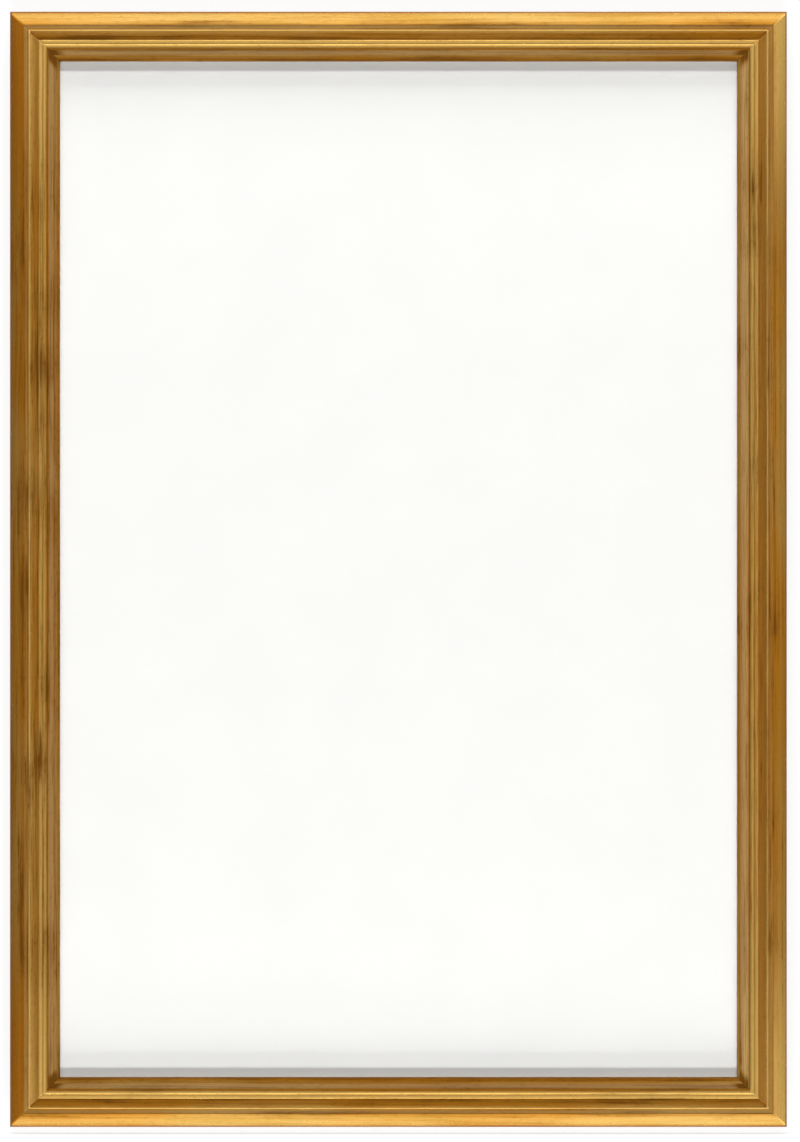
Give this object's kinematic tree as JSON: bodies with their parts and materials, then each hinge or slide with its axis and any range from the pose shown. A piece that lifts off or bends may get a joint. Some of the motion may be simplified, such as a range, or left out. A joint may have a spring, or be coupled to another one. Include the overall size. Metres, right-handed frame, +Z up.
{
  "type": "wall picture frame",
  "caption": "Gilded wood picture frame with a stepped, beaded moulding, mitred corners, glazing, backing held by turn buttons, and D-ring hangers for a wall.",
  "frame": {"origin": "middle of the frame's outline, on the wall plane that the bumpers touch", "axes": "+Z up, +X to the right as seen from the front, +Y into the wall; the frame faces -Y"},
  "size_m": [0.688, 0.0285, 0.988],
  "materials": {
    "gilded_wood": "gilded, satin",
    "glazing": "clear, polished",
    "picture_sheet": "matt white, blank",
    "filler_board": "matt",
    "backing_board": "hardboard, matt",
    "v_nail_steel": "plain",
    "turn_button_steel": "brassed",
    "screw_steel": "zinc plated",
    "hanger_steel": "nickel plated",
    "bumper_rubber": "matt"
  },
  "bodies": {
    "frame": {"top_rail": "gilded_wood", "bottom_rail": "gilded_wood", "left_rail": "gilded_wood", "right_rail": "gilded_wood", "v_nail_top_left_outer": "v_nail_steel", "v_nail_top_left_inner": "v_nail_steel", "v_nail_top_right_outer": "v_nail_steel", "v_nail_top_right_inner": "v_nail_steel", "v_nail_bottom_right_outer": "v_nail_steel", "v_nail_bottom_right_inner": "v_nail_steel", "v_nail_bottom_left_outer": "v_nail_steel", "v_nail_bottom_left_inner": "v_nail_steel", "glazing": "glazing", "picture_sheet": "picture_sheet", "filler_board": "filler_board", "backing_board": "backing_board", "button_screw_top_1": "screw_steel", "button_screw_top_2": "screw_steel", "button_screw_right_1": "screw_steel", "button_screw_right_2": "screw_steel", "button_screw_right_3": "screw_steel", "button_screw_bottom_1": "screw_steel", "button_screw_bottom_2": "screw_steel", "button_screw_left_1": "screw_steel", "button_screw_left_2": "screw_steel", "button_screw_left_3": "screw_steel", "hanger_strap_left": "hanger_steel", "hanger_strap_right": "hanger_steel", "hanger_screw_left_upper": "screw_steel", "hanger_screw_left_lower": "screw_steel", "hanger_screw_right_upper": "screw_steel", "hanger_screw_right_lower": "screw_steel", "wall_bumper_left": "bumper_rubber", "wall_bumper_right": "bumper_rubber"},
    "button_top_1": {"turn_button_top_1": "turn_button_steel"},
    "button_top_2": {"turn_button_top_2": "turn_button_steel"},
    "button_right_1": {"turn_button_right_1": "turn_button_steel"},
    "button_right_2": {"turn_button_right_2": "turn_button_steel"},
    "button_right_3": {"turn_button_right_3": "turn_button_steel"},
    "button_bottom_1": {"turn_button_bottom_1": "turn_button_steel"},
    "button_bottom_2": {"turn_button_bottom_2": "turn_button_steel"},
    "button_left_1": {"turn_button_left_1": "turn_button_steel"},
    "button_left_2": {"turn_button_left_2": "turn_button_steel"},
    "button_left_3": {"turn_button_left_3": "turn_button_steel"},
    "ring_left": {"hanger_ring_left": "hanger_steel"},
    "ring_right": {"hanger_ring_right": "hanger_steel"}
  },
  "joints": [
    {"name": "button_top_1_turn", "type": "hinge", "parent": "frame", "child": "button_top_1", "pos_m": [-0.194, -0.0054, 0.4635], "axis": [0, 1, 0], "continuous": true},
    {"name": "button_top_2_turn", "type": "hinge", "parent": "frame", "child": "button_top_2", "pos_m": [0.194, -0.0054, 0.4635], "axis": [0, 1, 0], "continuous": true},
    {"name": "button_right_1_turn", "type": "hinge", "parent": "frame", "child": "button_right_1", "pos_m": [0.3135, -0.0054, 0.344], "axis": [0, 1, 0], "continuous": true},
    {"name": "button_right_2_turn", "type": "hinge", "parent": "frame", "child": "button_right_2", "pos_m": [0.3135, -0.0054, 0], "axis": [0, 1, 0], "continuous": true},
    {"name": "button_right_3_turn", "type": "hinge", "parent": "frame", "child": "button_right_3", "pos_m": [0.3135, -0.0054, -0.344], "axis": [0, 1, 0], "continuous": true},
    {"name": "button_bottom_1_turn", "type": "hinge", "parent": "frame", "child": "button_bottom_1", "pos_m": [-0.194, -0.0054, -0.4635], "axis": [0, 1, 0], "continuous": true},
    {"name": "button_bottom_2_turn", "type": "hinge", "parent": "frame", "child": "button_bottom_2", "pos_m": [0.194, -0.0054, -0.4635], "axis": [0, 1, 0], "continuous": true},
    {"name": "button_left_1_turn", "type": "hinge", "parent": "frame", "child": "button_left_1", "pos_m": [-0.3135, -0.0054, 0.344], "axis": [0, 1, 0], "continuous": true},
    {"name": "button_left_2_turn", "type": "hinge", "parent": "frame", "child": "button_left_2", "pos_m": [-0.3135, -0.0054, 0], "axis": [0, 1, 0], "continuous": true},
    {"name": "button_left_3_turn", "type": "hinge", "parent": "frame", "child": "button_left_3", "pos_m": [-0.3135, -0.0054, -0.344], "axis": [0, 1, 0], "continuous": true},
    {"name": "ring_left_swing", "type": "hinge", "parent": "frame", "child": "ring_left", "pos_m": [-0.325, -0.0034, 0.274], "axis": [-1, 0, 0], "range_deg": [-5, 170]},
    {"name": "ring_right_swing", "type": "hinge", "parent": "frame", "child": "ring_right", "pos_m": [0.325, -0.0034, 0.274], "axis": [-1, 0, 0], "range_deg": [-5, 170]}
  ]
}
